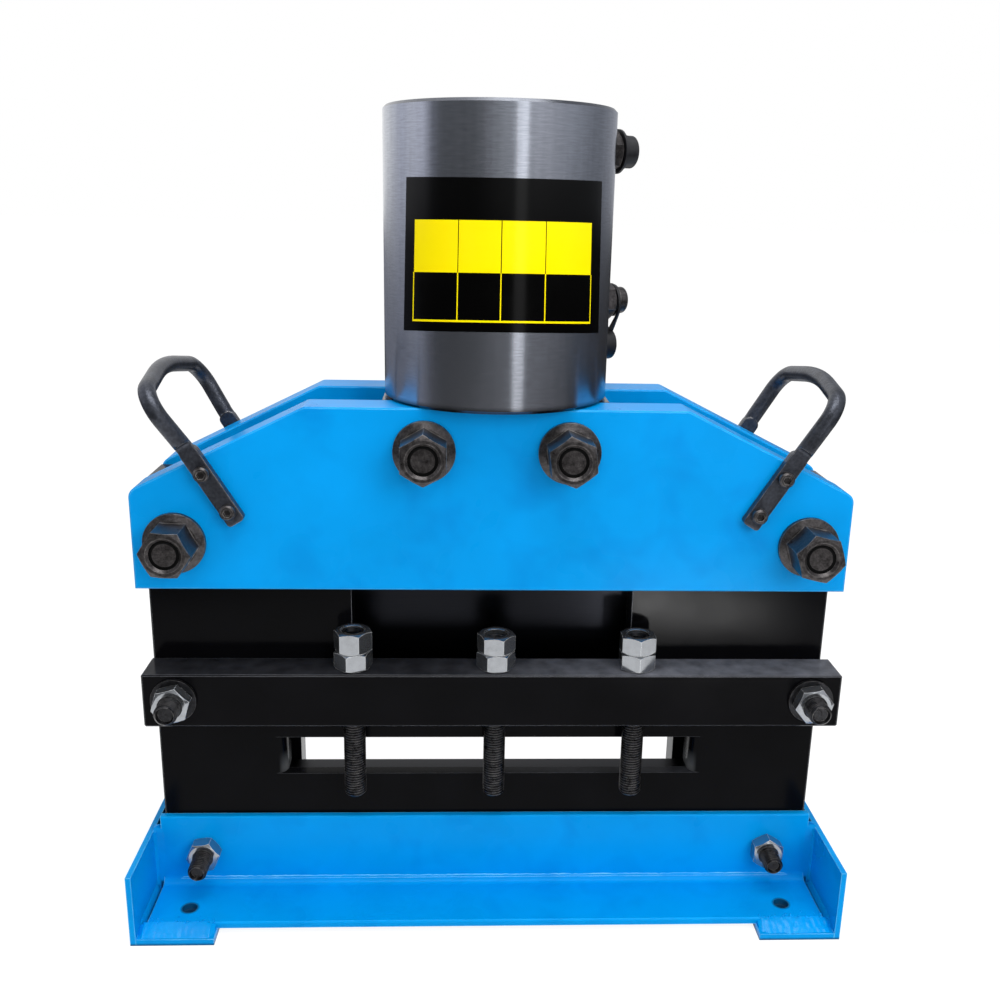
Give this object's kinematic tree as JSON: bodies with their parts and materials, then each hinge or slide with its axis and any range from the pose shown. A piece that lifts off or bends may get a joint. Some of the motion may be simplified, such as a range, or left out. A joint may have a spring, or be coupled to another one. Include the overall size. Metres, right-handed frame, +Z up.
{
  "type": "busbar cutting machine",
  "caption": "Bench-standing hydraulic shear that cuts flat busbar pushed through a slot between two guide plates.",
  "frame": {"origin": "on the floor, under the middle of the machine", "axes": "+X along the busbar slot to the viewer's right, +Y from front to back, +Z up along the cylinder"},
  "size_m": [0.5134, 0.184, 0.576],
  "materials": {
    "blue_paint": "gloss paint on steel",
    "black_paint": "semi-gloss black paint on steel",
    "black_handle": "satin black coating on bent steel bar",
    "black_oxide": "black oxide on steel",
    "zinc_plate": "bright zinc plate",
    "tool_steel": "ground tool steel",
    "cylinder_steel": "dark turned steel",
    "hard_chrome": "polished hard chrome",
    "bronze": "bearing bronze",
    "seal_rubber": "nitrile seal",
    "cap_rubber": "moulded soft black cap"
  },
  "bodies": {
    "frame": {"base_front_angle": "blue_paint", "base_rear_angle": "blue_paint", "left_foot_plate": "blue_paint", "right_foot_plate": "blue_paint", "left_end_plate": "blue_paint", "right_end_plate": "blue_paint", "front_cheek_plate": "blue_paint", "rear_cheek_plate": "blue_paint", "front_guide_plate": "black_paint", "rear_guide_plate": "black_paint", "guide_spacer": "black_paint", "clamp_bar": "black_paint", "left_handle": "black_handle", "right_handle": "black_handle", "base_studs": "black_oxide", "clamp_bar_studs": "black_oxide", "frame_bolts": "black_oxide", "frame_washers": "black_oxide", "collar_nuts": "black_oxide", "handle_screws": "black_oxide", "lower_blade_screws": "black_oxide", "upper_coupler": "black_oxide", "lower_coupler": "black_oxide", "clamp_bar_washers": "black_oxide", "base_nuts": "zinc_plate", "clamp_bar_nuts": "zinc_plate", "lower_blade": "tool_steel", "cylinder_barrel": "cylinder_steel", "cylinder_head": "cylinder_steel", "rod_guide_bush": "bronze", "head_seal": "seal_rubber", "rod_seal": "seal_rubber", "rod_wiper": "seal_rubber", "upper_cap_ring": "cap_rubber"},
    "ram": {"piston": "cylinder_steel", "piston_seal": "seal_rubber", "piston_guide_ring": "bronze", "piston_nut": "black_oxide", "piston_rod": "hard_chrome", "blade_carrier": "black_paint", "cross_pin": "cylinder_steel", "upper_blade": "tool_steel", "upper_blade_screws": "black_oxide"},
    "hold_down_left": {"hold_down_screw_left": "black_oxide", "hold_down_nuts_left": "zinc_plate"},
    "hold_down_centre": {"hold_down_screw_centre": "black_oxide", "hold_down_nuts_centre": "zinc_plate"},
    "hold_down_right": {"hold_down_screw_right": "black_oxide", "hold_down_nuts_right": "zinc_plate"},
    "upper_cap": {"upper_dust_cap": "cap_rubber"},
    "lower_cap": {"lower_cap_strap": "cap_rubber", "lower_dust_cap": "cap_rubber"}
  },
  "joints": [
    {"name": "ram_stroke", "type": "slide", "parent": "frame", "child": "ram", "axis": [0, 0, -1], "range_m": [0, 0.08]},
    {"name": "hold_down_left_lift", "type": "slide", "parent": "frame", "child": "hold_down_left", "axis": [0, 0, 1], "range_m": [0, 0.032]},
    {"name": "hold_down_centre_lift", "type": "slide", "parent": "frame", "child": "hold_down_centre", "axis": [0, 0, 1], "range_m": [0, 0.032]},
    {"name": "hold_down_right_lift", "type": "slide", "parent": "frame", "child": "hold_down_right", "axis": [0, 0, 1], "range_m": [0, 0.032]},
    {"name": "upper_cap_pull", "type": "slide", "parent": "frame", "child": "upper_cap", "axis": [0.9272, 0.3746, 0], "range_m": [0, 0.02]},
    {"name": "lower_cap_swing", "type": "hinge", "parent": "frame", "child": "lower_cap", "pos_m": [0.08368, 0.03381, 0.4495], "axis": [0.9272, 0.3746, 0], "range_deg": [-45, 45]}
  ]
}
